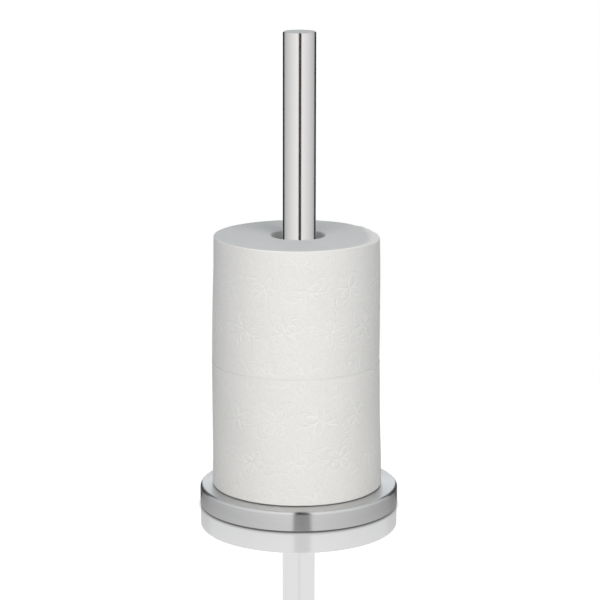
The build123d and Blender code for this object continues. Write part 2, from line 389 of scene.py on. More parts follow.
@dataclass(frozen=True)
class Tissue(Finish):
    """Creped tissue paper, embossed and wound: matt and soft on its side; the cut ends are cooler and painted
    darker, partly for their grain and partly as painted shade for the weaker light on top, with painted shade
    between the turns.
    """

    centre: Pair  # m, the roll's own axis
    side: str = "#F4F2EF"
    speck: str = "#EFEDEA"
    # the pressed lines are painted lighter than the sheet: a painted highlight, as if their edges caught the
    # light
    pressed: str = "#F9F8F5"
    # the cut ends are painted darker than the side, partly for the end grain's own tone and partly as painted
    # shade for the weaker light on top
    cut_end: str = "#E4E4E4"
    # painted shade in the gaps between the turns of the cut ends
    cut_gap_painted_shade: str = "#DADBDB"
    roughness: float = 0.92
    ior: float = 1.4
    specular: float = 0.25
    speck_range: Pair = (0.38, 0.62)
    line: float = 0.5  # mm, half width of the pressed lines
    line_depth: float = 0.16  # mm
    crepe_width: float = 1.5  # mm, crepe lines are 0.3 mm apart and are drawn wider so that they show
    crepe_squash: float = 1.3  # the crepe is shorter along the axis
    crepe_depth: float = 0.32  # mm
    turn_pitch: float = 1.3  # mm, turns are 0.15 mm apart and are drawn wider so that they show
    turn_depth: float = 0.05  # mm
    turn_bands: float = 70.0  # to the metre, patches where the turns show more or less
    turn_wobble: tuple[float, ...] = (1.6, 3.0, 0.35)  # distortion of the turns, its detail and its scale
    softened: float = 0.6  # strength of the crepe and the turns

    def look(self, tree: Tree) -> dict[str, object]:
        """Draws crepe and pressed lines on the side, the lines painted lighter as a painted highlight, and
        the turns on the ends with painted shade between them.

        Args:
            tree: The material's node tree.

        Returns:
            The surface's inputs by name.
        """
        end, turn, rise, firm = (
            add_node(tree, "ShaderNodeAttribute", attribute_name=label).outputs["Fac"]
            for label in ("end", "turn", "rise", "firm")
        )
        shift = (*self.centre, 0.0)
        fine = 1 / (self.crepe_width * MM)
        crepe = mottle(tree, (fine, fine, fine * self.crepe_squash), detail=3.0, shift=shift)
        rings = {
            "Vector": object_point(tree, (1.0, 1.0, 0.0), shift),
            "Scale": math.tau / 20 / (self.turn_pitch * MM),  # rings are 2 pi / 20 apart at a scale of 1
            **dict(zip(("Distortion", "Detail", "Detail Scale"), self.turn_wobble)),
        }
        turns = add_node(tree, "ShaderNodeTexWave", rings, wave_type="RINGS", rings_direction="Z")
        known = worked_out(
            tree,
            {
                "end": end,
                "firm": firm,
                "drawn": rosettes(tree, turn, rise, {**EMBOSS, "Line": self.line * MM}),
                "turns": turns.outputs["Fac"],
                "bands": mottle(tree, (self.turn_bands,) * 3, detail=2.0, shift=shift),
            },
            ("lines", "MULTIPLY", "firm", "drawn"),
            ("banded", "MULTIPLY", "turns", "bands"),
            ("ringed", "MULTIPLY", "turns", "end"),
        )
        lines = known["lines"]
        low, high = self.speck_range
        specks = add_node(tree, "ShaderNodeMapRange", {0: crepe, 1: low, 2: high}).outputs[0]
        # the pressed lines are painted lighter: a painted highlight
        side = painted(tree, self.speck, (specks, self.side), (lines, self.pressed))
        # the cut ends: painted shade between the turns, in patches where it shows more or less
        cut = painted(tree, self.cut_gap_painted_shade, (known["banded"], self.cut_end))
        layers = (
            (crepe, self.crepe_depth, self.softened),
            (lines, -self.line_depth, 1.0),
            (known["ringed"], self.turn_depth, self.softened),
        )
        return {
            "Base Color": painted(tree, side, (end, cut)),
            "Roughness": self.roughness,
            "IOR": self.ior,
            "Specular IOR Level": self.specular,
            "Normal": relief(tree, *layers),
        }


@dataclass(frozen=True)
class CoreCard(Finish):
    """Recycled grey card, spirally wound and glued: flat fibre with a slanting seam."""

    centre: Pair
    colour: str = "#C8CACA"
    fibre: str = "#B8BABA"
    seam_colour: str = "#A3A4A4"
    seam_rise: float = 62.0  # mm up for one turn of the strip
    seam_width: float = 0.02  # share of a turn
    fibre_scale: Point = (900.0, 900.0, 1600.0)  # to the metre
    fibre_depth: float = 0.03  # mm
    fibre_strength: float = 0.5
    roughness: float = 0.85
    ior: float = 1.45

    def look(self, tree: Tree) -> dict[str, object]:
        """Draws the fibre and the seam.

        Args:
            tree: The material's node tree.

        Returns:
            The surface's inputs by name.
        """
        shift = (*self.centre, 0.0)
        fibres = mottle(tree, self.fibre_scale, detail=4.0, shift=shift)
        parts = add_node(tree, "ShaderNodeSeparateXYZ", {0: object_point(tree, EVENLY, shift)}).outputs
        known = worked_out(
            tree,
            {"x": parts[0], "y": parts[1], "z": parts[2]},
            ("bearing", "ARCTAN2", "y", "x"),
            ("turned", "MULTIPLY", "bearing", 1 / math.tau),
            ("climbed", "MULTIPLY_ADD", "z", 1 / (self.seam_rise * MM), "turned"),
            ("across", "PINGPONG", "climbed", 1.0),
        )
        band = {0: known["across"], 1: 0.0, 2: self.seam_width, 3: 1.0, 4: 0.0}
        seam = add_node(tree, "ShaderNodeMapRange", band).outputs[0]
        return {
            "Base Color": painted(tree, self.fibre, (fibres, self.colour), (seam, self.seam_colour)),
            "Roughness": self.roughness,
            "IOR": self.ior,
            "Normal": relief(tree, (fibres, self.fibre_depth, self.fibre_strength)),
        }


# ---- mesh work ----
def arc(centre: Pair, radius: float, start: float, end: float, steps: int) -> list[Pair]:
    """Points of an arc in a turned profile.

    Args:
        centre: Distance from the axis and height of the arc's centre.
        radius: The arc's radius.
        start: First angle in degrees, 0 pointing away from the axis and 90 up.
        end: Last angle in degrees.
        steps: Number of segments.

    Returns:
        The points, both ends included.
    """
    angles = (math.radians(start + (end - start) * i / steps) for i in range(steps + 1))
    return [(centre[0] + radius * math.cos(a), centre[1] + radius * math.sin(a)) for a in angles]


def still(profile: Sequence[Pair]) -> list[Row]:
    """Turns a plain profile into rows that are the same at every angle."""
    return [lambda angle, point=point: point for point in profile]


def round_point(centre: Pair, reach: float, angle: float, height: float) -> Point:
    """Gives the place at a distance and an angle from an upright axis."""
    return centre[0] + reach * math.cos(angle), centre[1] + reach * math.sin(angle), height


def faces_between(rows: int, count: int, closed: bool = False) -> list[tuple[int, ...]]:
    """Joins rows of points that run round an axis, each to the next.

    Args:
        rows: How many rows there are.
        count: How many points a row has.
        closed: Whether the last row joins the first.

    Returns:
        Point numbers of each face.
    """
    return [
        (row * count + i, row * count + (i + 1) % count, after * count + (i + 1) % count, after * count + i)
        for row, after in ((row, (row + 1) % rows) for row in range(rows if closed else rows - 1))
        for i in range(count)
    ]


def new_piece(name: str, points: Sequence[Point], faces: Sequence[Sequence[int]]) -> Piece:
    """Makes a piece from points and faces.

    Args:
        name: The piece's name.
        points: Places in metres.
        faces: Point numbers of each face.

    Returns:
        The new object, at the origin.
    """
    mesh = bpy.data.meshes.new(name)
    mesh.from_pydata(points, [], faces)
    piece = bpy.data.objects.new(name, mesh)
    bpy.context.scene.collection.objects.link(piece)
    return piece


def turned_piece(
    name: str,
    rows: Sequence[Row],
    segments: int,
    closed: bool,
    sharp: float = 32.0,
    centre: Pair = (0.0, 0.0),
) -> Piece:
    """Makes a piece from rows of points round an axis, each row free to change with the angle.

    Args:
        name: The piece's name.
        rows: For each row, the distance from the axis and the height at an angle in radians, in mm.
        segments: Points round the axis.
        closed: Whether the last row joins the first, as in a ring, instead of closing on the axis.
        sharp: Edges that turn more than this many degrees stay sharp.
        centre: The axis, in metres.

    Returns:
        The new object.
    """
    points = []
    for row in rows:
        for angle in (math.tau * j / segments for j in range(segments)):
            reach, height = row(angle)
            points.append(round_point(centre, reach * MM, angle, height * MM))
    piece = new_piece(name, points, faces_between(len(rows), segments, closed))
    shape = bmesh.new()
    shape.from_mesh(piece.data)
    bmesh.ops.remove_doubles(shape, verts=shape.verts, dist=MERGE_WITHIN)
    bmesh.ops.recalc_face_normals(shape, faces=shape.faces)
    shape.to_mesh(piece.data)
    shape.free()
    piece.data.shade_smooth()
    piece.data.set_sharp_from_angle(angle=math.radians(sharp))
    return piece


def place(piece: Piece, body: str, slot: str, materials: Sequence[Material], *nodes: str) -> None:
    """Dresses a finished piece and hangs it on its body.

    Args:
        piece: The finished object.
        body: The body that it moves with.
        slot: The name of the slot that its finish comes from; not used.
        materials: Its materials, in the order of its faces' numbers.
        *nodes: The solids that it stands for.
    """
    piece.data.materials.clear()
    for material in materials:
        piece.data.materials.append(material)
    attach(piece, body)
    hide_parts(*nodes)
    LOG.info("%s: %d faces on %s", piece.name, len(piece.data.polygons), body)


def dress_node(node: str, finish: Finish) -> None:
    """Gives a solid that shows as it is its finish.

    Args:
        node: The solid's node.
        finish: What it is made of.
    """
    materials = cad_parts[node].data.materials
    materials.clear()
    materials.append(finish.make())
    LOG.info("%s: dressed in %s", node, finish.name)


@dataclass(frozen=True)
class Extent:
    """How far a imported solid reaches, in mm."""

    centre: Pair
    radius: float
    bottom: float
    top: float

    @classmethod
    def of(cls, node: str) -> "Extent":
        """Reads the extent of a round solid from the frame.

        Args:
            node: The solid's node.

        Returns:
            Its extent.
        """
        low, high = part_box(node)
        middle = (low + high) / 2 / MM
        return cls((middle.x, middle.y), (high.x - low.x) / 2 / MM, low.z / MM, high.z / MM)


# ---- geometry node trees ----
def new_tree(name: str, numbers: dict[str, float]) -> tuple[Tree, Node]:
    """Starts a geometry tree with a piece, some named numbers and a material as inputs.

    Args:
        name: The tree's name.
        numbers: Named inputs with their first values.

    Returns:
        The tree and its input node.
    """
    tree = bpy.data.node_groups.new(name, "GeometryNodeTree")
    tree.interface.new_socket("Geometry", in_out="INPUT", socket_type="NodeSocketGeometry")
    for label, value in numbers.items():
        socket = tree.interface.new_socket(label, in_out="INPUT", socket_type="NodeSocketFloat")
        socket.default_value = value
    tree.interface.new_socket("Finish", in_out="INPUT", socket_type="NodeSocketMaterial")
    tree.interface.new_socket("Geometry", in_out="OUTPUT", socket_type="NodeSocketGeometry")
    return tree, add_node(tree, "NodeGroupInput")


def end_tree(tree: Tree, given: Node, made: Socket) -> None:
    """Ends a geometry tree in real faces with the finish set.

    Args:
        tree: The geometry tree.
        given: Its input node.
        made: The shape that it has made.
    """
    real = add_node(tree, "GeometryNodeRealizeInstances", {"Geometry": made}).outputs[0]
    bare = {"Geometry": real, "Material": given.outputs["Finish"]}
    finished = add_node(tree, "GeometryNodeSetMaterial", bare).outputs[0]
    add_node(tree, "NodeGroupOutput", {"Geometry": finished})


def grow(piece: Piece, tree: Tree, numbers: dict[str, float], finish: Material) -> None:
    """Runs a geometry tree on a piece with its named sizes and makes the result a plain mesh.

    Args:
        piece: The object that the tree works on.
        tree: The geometry tree.
        numbers: Values of the tree's named inputs.
        finish: The material that the tree sets.
    """
    modifier = piece.modifiers.new(tree.name, "NODES")
    modifier.node_group = tree
    values = {**numbers, "Finish": finish}
    for item in tree.interface.items_tree:
        if item.item_type == "SOCKET" and item.in_out == "INPUT" and item.name in values:
            modifier[item.identifier] = values[item.name]
    bpy.context.view_layer.update()
    plain = bpy.data.meshes.new_from_object(piece.evaluated_get(bpy.context.evaluated_depsgraph_get()))
    raw = piece.data
    piece.modifiers.clear()
    piece.data = plain
    plain.name = piece.name
    bpy.data.meshes.remove(raw)
    plain.shade_smooth()
    plain.set_sharp_from_angle(angle=math.radians(SOFT_EDGE))


def embossing_tree() -> Tree:
    """Builds the embossing rule: rows of rosettes pressed in, over a fine crepe.

    Returns:
        The tree. It reads from each point how far round and how high it lies, and how well it is pressed.
    """
    tree, given = new_tree("embossing", EMBOSS)
    sizes = given.outputs
    here = add_node(tree, "GeometryNodeInputPosition").outputs[0]
    crepe_scale = worked_out(tree, {"Crepe": sizes["Crepe"]}, ("scale", "DIVIDE", 1.0, "Crepe"))["scale"]
    wander, patches, crepe = (
        add_node(tree, "ShaderNodeTexNoise", {"Vector": here, "Scale": scale, "Detail": 1.5}).outputs
        for scale in (DRIFT_SCALE, PATCH_SCALE, crepe_scale)
    )
    wander = add_node(tree, "ShaderNodeSeparateXYZ", {0: wander["Color"]}).outputs
    patch_range = {0: patches["Fac"], 1: PATCH_RANGE[0], 2: PATCH_RANGE[1], 3: LEAST_PRESSED}
    turn, rise, press = (
        add_node(tree, "GeometryNodeInputNamedAttribute", {"Name": label}, data_type="FLOAT").outputs[0]
        for label in ("turn", "rise", "press")
    )
    known = worked_out(
        tree,
        {
            "turn": turn,
            "rise": rise,
            "press": press,
            "turn_wander": wander[0],
            "rise_wander": wander[1],
            "Drift": sizes["Drift"],
            "patch": add_node(tree, "ShaderNodeMapRange", patch_range).outputs[0],
            "crepe": crepe["Fac"],
        },
        ("off_middle", "SUBTRACT", "turn_wander", 0.5),
        ("turn", "MULTIPLY_ADD", "off_middle", "Drift", "turn"),
        ("off_middle", "SUBTRACT", "rise_wander", 0.5),
        ("rise", "MULTIPLY_ADD", "off_middle", "Drift", "rise"),
        ("firm", "MULTIPLY", "patch", "press"),
        ("wrinkle", "MULTIPLY_ADD", "crepe", WRINKLE, -WRINKLE / 2),
    )
    lines = rosettes(tree, known["turn"], known["rise"], sizes)
    height = worked_out(
        tree,
        {**known, "lines": lines, "Relief": sizes["Relief"]},
        ("height", "SUBTRACT", "wrinkle", "lines"),
        ("height", "MULTIPLY", "height", "firm"),
        ("height", "MULTIPLY", "height", "Relief"),
    )["height"]
    outwards = {0: add_node(tree, "GeometryNodeInputNormal").outputs[0], "Scale": height}
    offset = add_node(tree, "ShaderNodeVectorMath", outwards, operation="SCALE").outputs[0]
    moved = {"Geometry": sizes["Geometry"], "Offset": offset}
    shape = add_node(tree, "GeometryNodeSetPosition", moved).outputs[0]
    for label in ("turn", "rise", "firm"):
        kept = {"Geometry": shape, "Name": label, "Value": known[label]}
        store = add_node(tree, "GeometryNodeStoreNamedAttribute", kept, data_type="FLOAT", domain="POINT")
        shape = store.outputs[0]
    end_tree(tree, given, shape)
    return tree


def screw_circle_tree(numbers: dict[str, float]) -> Tree:
    """Builds the screw circle: one screw repeated at even steps round the axis.

    Args:
        numbers: "Count", "Circle Radius" in metres and "First Bearing" in radians.

    Returns:
        The tree.
    """
    tree, given = new_tree("screw_circle", numbers)
    sizes = given.outputs
    around = {"Vertices": sizes["Count"], "Radius": sizes["Circle Radius"]}
    circle = add_node(tree, "GeometryNodeMeshCircle", around).outputs[0]
    turn = add_node(tree, "ShaderNodeCombineXYZ", {"Z": sizes["First Bearing"]}).outputs[0]
    turned = add_node(tree, "GeometryNodeTransform", {"Geometry": circle, "Rotation": turn}).outputs[0]
    screws = {"Points": turned, "Instance": sizes["Geometry"]}
    end_tree(tree, given, add_node(tree, "GeometryNodeInstanceOnPoints", screws).outputs[0])
    return tree


# ---- the stand ----
@dataclass
class Base:
    """The round base: drawn steel cover over its ballast, plate and rubber foot. Sizes in mm."""

    wall: float = 0.8
    edge_radius: float = 2.5
    rim_round: float = 0.22
    rim_guard: float = 0.66  # an extra row this far above the rim keeps its shading tight
    bolt_hole: float = 4.25
    edge_guard: float = 0.4  # extra rows this near to a bend keep its shading tight
    far_guard: float = 3.0
    flat_rings: tuple[float, ...] = (50.0, 30.0, 14.0)  # extra rows that keep the flat's shading even
    top_reach: float = 0.6  # how far the flat's finish runs into the bend
    level_normal: float = 0.99  # a face whose normal points up by more than this is level
    segments: int = 288
    rim_steps: int = 3
    bend_steps: tuple[int, int] = (14, 6)  # outside and inside
    foot_inner_radius: float = 67.8
    foot_inner_chamfer: float = 0.1
    foot_chamfer: float = 0.5
    foot_bulge: float = 0.24  # share of the chamfer's height at half its width
    foot_segments: int = 192
    # Drawn stainless sheet, brushed round its side: a long soft mirror with fine level lines.
    side_finish: SatinSteel = SatinSteel(
        "stainless_side_brushed_round", "#DADADA", "#D0D0D1", 0.25, 0.03, mark_depth=0.0009, wave_depth=0.006
    )
    # The same sheet, satin on its flat: a blurred mirror with no direction.
    top_finish: SatinSteel = SatinSteel(
        "stainless_top_satin", "#D6D6D4", "#CECECD", 0.25, 0.02,
        mark_depth=0.0006, wave_depth=0.004, grain=Grain.EVEN,
    )
    # Moulded nitrile rubber: dull black that shows no reflection.
    foot_finish: GrainedFinish = GrainedFinish(
        "nitrile_rubber_moulded", "#232425", "#1A1B1C", 0.78, grain_width=0.5, grain_depth=0.02
    )
    # Moulded ABS with a spark-eroded texture: satin black.
    plate_finish: GrainedFinish = GrainedFinish(
        "abs_moulded_textured", "#2B2C2E", "#242527", 0.55, grain_width=0.7, grain_depth=0.03
    )
    # Cast iron in black primer: rough and dead matt.
    ballast_finish: GrainedFinish = GrainedFinish(
        "cast_iron_primed", "#3A3A3B", "#2C2C2D", 0.8, grain_width=1.2, grain_depth=0.08
    )

    def cover(self) -> None:
        """Makes the drawn cover, its flat and its side in two finishes."""
        size = Extent.of("base_cover")
        outer, inner = size.radius, size.radius - self.wall
        bend = (outer - self.edge_radius, size.top - self.edge_radius)
        rim, near, far = self.rim_round, self.edge_guard, self.far_guard
        profile = [
            *arc((outer - rim, size.bottom + rim), rim, -90, 0, self.rim_steps),
            (outer, size.bottom + self.rim_guard),
            (outer, bend[1] - far),
            (outer, bend[1] - near),
            *arc(bend, self.edge_radius, 0, 90, self.bend_steps[0]),
            *[(reach, size.top) for reach in (bend[0] - near, bend[0] - far, *self.flat_rings)],
            (self.bolt_hole, size.top),
            (self.bolt_hole, size.top - self.wall),
            (bend[0] - near, size.top - self.wall),
            *arc(bend, self.edge_radius - self.wall, 90, 0, self.bend_steps[1]),
            (inner, size.bottom + self.rim_guard),
            *arc((inner + rim, size.bottom + rim), rim, 180, 270, self.rim_steps),
        ]
        piece = turned_piece("drawn_cover", still(profile), self.segments, closed=True)
        flat_radius = (bend[0] + self.top_reach) * MM
        for face in piece.data.polygons:
            level = face.normal.z > self.level_normal
            face.material_index = int(level and math.hypot(face.center.x, face.center.y) < flat_radius)
        materials = [self.side_finish.make(), self.top_finish.make()]
        place(piece, "stand", "brushed_cover", materials, "base_cover")

    def foot(self) -> None:
        """Makes the rubber ring under the base."""
        size = Extent.of("foot_ring")
        inner, slight, cut = self.foot_inner_radius, self.foot_inner_chamfer, self.foot_chamfer
        profile = [
            (inner, size.bottom + slight),
            (inner + slight, size.bottom),
            (size.radius - cut, size.bottom),
            (size.radius - cut / 2, size.bottom + cut * self.foot_bulge),
            (size.radius, size.bottom + cut),
            (size.radius, size.top),
            (inner, size.top),
        ]
        piece = turned_piece("rubber_foot", still(profile), self.foot_segments, closed=True, sharp=40)
        place(piece, "stand", "foot_rubber", [self.foot_finish.make()], "foot_ring")

    def build(self) -> None:
        """Builds and dresses the whole base."""
        self.cover()
        self.foot()
        dress_node("base_plate", self.plate_finish)
        dress_node("base_weight", self.ballast_finish)


@dataclass
class Post:
    """The upright tube with its flush cap. Sizes in mm."""

    wall: float = 1.0
    foot_chamfer: float = 0.2
    edge_radius: float = 0.8
    edge_guard: float = 0.3  # an extra row this far below the edge keeps its shading tight
    edge_steps: int = 10
    level_count: int = 12
    level_margins: Pair = (2.0, 4.0)  # from the foot to the first level and from the last level to the top
    cap_wall: float = 1.0
    cap_chamfer: float = 0.3
    cap_guard: float = 0.4
    cap_steps: int = 4
    segments: int = 160
    cap_segments: int = 96
    # Seam-welded stainless tube, belt ground round and round: level lines, a mirror that is sharp sideways.
    tube_finish: SatinSteel = SatinSteel(
        "stainless_tube_brushed_round", "#DFDDDC", "#D6D4D3", 0.26, 0.003,
        mark_depth=0.00003, wave_depth=0.03, wave_length=38.0,
    )
    # Pressed cap, satin on its flat: a blurred mirror, its steel coloured darker than the tube's as painted
    # shade so that its flat shows dim.
    cap_finish: SatinSteel = SatinSteel(
        "stainless_cap_satin", "#9C9C9C", "#959595", 0.3, 0.02,
        mark_depth=0.0006, wave_depth=0.002, grain=Grain.EVEN,
    )

    def tube(self) -> None:
        """Makes the tube with its rounded top edge."""
        size = Extent.of("post_tube")
        outer, inner = size.radius, size.radius - self.wall
        low, high = size.bottom + self.level_margins[0], size.top - self.level_margins[1]
        edge = (outer - self.edge_radius, size.top - self.edge_radius)
        profile = [
            (outer - self.foot_chamfer, size.bottom),
            (outer, size.bottom + self.foot_chamfer),
            *[(outer, low + (high - low) * i / self.level_count) for i in range(self.level_count + 1)],
            (outer, edge[1] - self.edge_guard),
            *arc(edge, self.edge_radius, 0, 90, self.edge_steps),
            (inner, size.top),
            (inner, size.bottom),
        ]
        piece = turned_piece("tube", still(profile), self.segments, closed=True)
        place(piece, "stand", "brushed_tube", [self.tube_finish.make()], "post_tube")

    def cap(self) -> None:
        """Makes the pressed cap that closes the tube."""
        size = Extent.of("post_cap")
        outer, inner, cut = size.radius, size.radius - self.cap_wall, self.cap_chamfer
        profile = [
            (0, size.top),
            (outer / 2, size.top),
            (outer - cut - self.cap_guard, size.top),
            *arc((outer - cut, size.top - cut), cut, 90, 0, self.cap_steps),
            (outer, size.bottom),
            (inner, size.bottom),
            (inner, size.top - self.cap_wall),
            (0, size.top - self.cap_wall),
        ]
        piece = turned_piece("end_cap", still(profile), self.cap_segments, closed=False)
        place(piece, "stand", "brushed_cap", [self.cap_finish.make()], "post_cap")

    def build(self) -> None:
        """Builds and dresses the whole post."""
        self.tube()
        self.cap()


@dataclass(frozen=True)
class Thread:
    """A right-hand thread that runs out at its foot. Sizes in mm."""

    radius: float
    pitch: float
    depth: float
    rows_per_turn: int = 8

    def rows(self, bottom: float, top: float) -> list[Row]:
        """Makes the thread's rows.

        Args:
            bottom: Where the thread begins.
            top: Where it ends.

        Returns:
            The rows, from the bottom up.
        """
        count = int((top - bottom) / self.pitch * self.rows_per_turn)

        def row(height: float) -> Row:
            """Makes one level of the thread.

            Args:
                height: The level.

            Returns:
                Its row.
            """
            depth = self.depth * min(1.0, (height - bottom) / self.pitch)

            def point(angle: float) -> Pair:
                """Sinks the groove by how far the level is from the crest at this angle."""
                phase = (height / self.pitch - angle / math.tau) % 1.0
                return self.radius - depth * (1 - abs(2 * phase - 1)), height

            return point

        return [row(bottom + (top - bottom) * i / count) for i in range(count + 1)]


@dataclass
class Fastenings:
    """The bolt that holds the post, its washers and plug, and the plate's three screws. Sizes in mm."""

    bolt_thread: Thread = Thread(radius=4.0, pitch=1.25, depth=0.62)
    bolt_thread_margins: Pair = (0.4, 0.6)  # plain shank below the head and plain end
    bolt_face_ring: float = 0.6  # extra row on the head's face, as a share of half its width
    turned_down: float = 0.1  # how far the end is turned down below the thread's root
    bolt_segments: int = 96
    across_flats: float = 13.0
    bevel: float = 30.0  # degrees
    bevel_start: float = 0.97  # share of half the width across the flats
    screw_thread: Thread = Thread(radius=1.75, pitch=1.3, depth=0.4)
    screw_length: float = 9.0
    screw_tip: float = 0.8
    screw_tip_edge: Pair = (0.5, 0.05)  # radius and rounding of the blunt tip
    screw_head_radius: float = 3.5
    screw_head_depth: float = 1.75
    screw_head_edge: Pair = (0.15, 0.12)  # how far the head's edge is rounded, in and up
    screw_neck: float = 0.1
    screw_segments: int = 72
    screw_count: int = 3
    screw_bearing: float = 90.0  # degrees, where the first one stands
    recess_span: float = 3.8
    recess_width: float = 0.9
    recess_depth: float = 1.2
    recess_slope: float = 0.35  # how much shallower the recess is at its ends
    recess_rings: tuple[float, ...] = (0.0, 0.3, 0.44, 0.6, 0.9, 1.2, 1.5)
    face_rings: tuple[float, ...] = (1.94, 2.6)
    # Steel, zinc plated and blue passivated: bright grey with a faint bloom.
    zinc: GrainedFinish = GrainedFinish(
        "steel_zinc_plated", "#C6CACD", "#B4B9BD", 0.34, 0.6, 0.004, metallic=1.0
    )
    # Spring steel, blackened in oil: dark with dull edges.
    blackened: GrainedFinish = GrainedFinish(
        "spring_steel_oiled", "#6A6A6C", "#565658", 0.45, 0.5, 0.004, metallic=1.0
    )

    def bolt(self) -> None:
        """Makes the hexagon bolt: bevelled head below, thread above."""
        size, seat = Extent.of("post_bolt"), Extent.of("post_spring_washer").bottom
        half, thread = self.across_flats / 2, self.bolt_thread
        slope = math.tan(math.radians(self.bevel))
        start = half * self.bevel_start

        def side(angle: float) -> float:
            """Distance from the axis to the head's side."""
            sector = math.pi / 3
            return half / math.cos((angle + sector / 2) % sector - sector / 2)

        rows = [
            *still([(reach, size.bottom) for reach in (0, half * self.bolt_face_ring, start)]),
            lambda angle: (side(angle), size.bottom + (side(angle) - start) * slope),  # higher at the corners
            lambda angle: (side(angle), seat),
            *still([(thread.radius, seat)]),
            *thread.rows(seat + self.bolt_thread_margins[0], size.top - self.bolt_thread_margins[1]),
            *still([(thread.radius - thread.depth - self.turned_down, size.top), (0, size.top)]),
        ]
        piece = turned_piece("hexagon_bolt", rows, self.bolt_segments, closed=False, sharp=28)
        place(piece, "stand", "zinc_steel", [self.zinc.make()], "post_bolt")

    def screw(self) -> Piece:
        """Makes one countersunk cross-head screw, head down, on the axis.

        Returns:
            The screw, undressed.
        """
        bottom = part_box("plate_screws")[0].z / MM
        head, seat, end = self.screw_head_radius, bottom + self.screw_head_depth, bottom + self.screw_length
        half_span, half_width = self.recess_span / 2, self.recess_width / 2

        def face(reach: float) -> Row:
            """Makes a ring of the head's face, sunk where it crosses the recess.

            Args:
                reach: The ring's radius.

            Returns:
                Its row.
            """
            sunk = self.recess_depth * (1 - self.recess_slope * reach / half_span)

            def point(angle: float) -> Pair:
                """Gives the height of the face at one angle."""
                aside = min(abs(reach * math.sin(angle)), abs(reach * math.cos(angle)))
                return reach, bottom + (sunk if reach <= half_span and aside < half_width else 0.0)

            return point

        thread, neck = self.screw_thread, self.screw_neck
        edge_in, edge_up = self.screw_head_edge
        tip_radius, tip_round = self.screw_tip_edge
        rings = (*self.recess_rings, half_span, *self.face_rings, head - edge_in)
        rows = [
            *[face(reach) for reach in rings],
            *still([(head, bottom + edge_up), (thread.radius + neck, seat - neck)]),
            *thread.rows(seat, end - self.screw_tip),
            *still([(tip_radius, end - tip_round), (0, end)]),
        ]
        return turned_piece("plate_screw_set", rows, self.screw_segments, closed=False, sharp=28)

    def screws(self) -> None:
        """Repeats the screw round the plate."""
        circle_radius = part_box("plate_screws")[1].y - self.screw_head_radius * MM
        zinc = self.zinc.make()
        numbers = {
            "Count": float(self.screw_count),
            "Circle Radius": circle_radius,
            "First Bearing": math.radians(self.screw_bearing),
        }
        piece = self.screw()
        grow(piece, screw_circle_tree(numbers), numbers, zinc)
        place(piece, "stand", "zinc_steel", [zinc], "plate_screws")

    def build(self) -> None:
        """Builds and dresses every fastening."""
        self.bolt()
        self.screws()
        dress_node("post_washer", self.zinc)
        dress_node("post_plug", self.zinc)
        dress_node("post_spring_washer", self.blackened)


# ---- the rolls ----
@dataclass(frozen=True)
class Column:
    """One line up the side of a winding, from its lower to its upper end."""

    angle: float  # degrees of winding since the turn began under the loose end
    stand_off: float  # mm outside the spiral
    pressed: float  # how well the embossing shows


